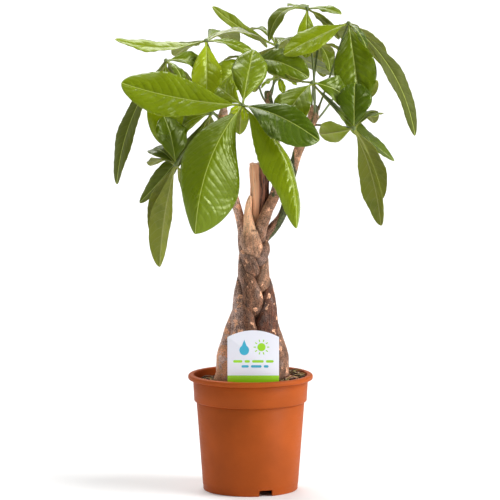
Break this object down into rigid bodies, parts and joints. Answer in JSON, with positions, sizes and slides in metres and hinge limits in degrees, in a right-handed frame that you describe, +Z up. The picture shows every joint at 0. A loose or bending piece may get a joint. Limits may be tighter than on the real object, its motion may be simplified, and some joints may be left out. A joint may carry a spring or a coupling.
{
  "type": "potted braided money tree",
  "caption": "Small indoor tree with plaited stems in a round tapered nursery pot, with fan-shaped leaves of long leaflets and a blank plant label.",
  "frame": {"origin": "centre of the underside of the pot, on the surface that the pot stands on", "axes": "+Z up along the pot's axis and the plait; the plant label faces -Y; +X is to the right seen from the label side"},
  "size_m": [0.3103, 0.2778, 0.5043],
  "materials": {
    "pot_plastic": "satin moulded polypropylene",
    "potting_mix": "loose coir and bark",
    "bark": "rough bark",
    "label_card": "smooth printed plastic card",
    "leaf": "glossy leaf"
  },
  "bodies": {
    "root": {"pot": "pot_plastic", "potting_mix": "potting_mix", "plant_label": "label_card", "stem_left": "bark", "stem_stump": "bark", "stem_stub": "bark", "stem_middle": "bark", "stem_right": "bark", "leaf_front": "leaf", "leaf_left_upper": "leaf", "leaf_left_top": "leaf", "leaf_back_top": "leaf", "leaf_back_right": "leaf", "leaf_right_upper": "leaf", "leaf_right_inner": "leaf", "leaf_left_inner": "leaf", "leaf_left_low": "leaf", "leaf_right_low": "leaf", "leaf_centre": "leaf", "leaf_right_middle": "leaf", "leaf_back_low": "leaf", "leaf_young": "leaf"}
  },
  "joints": []
}
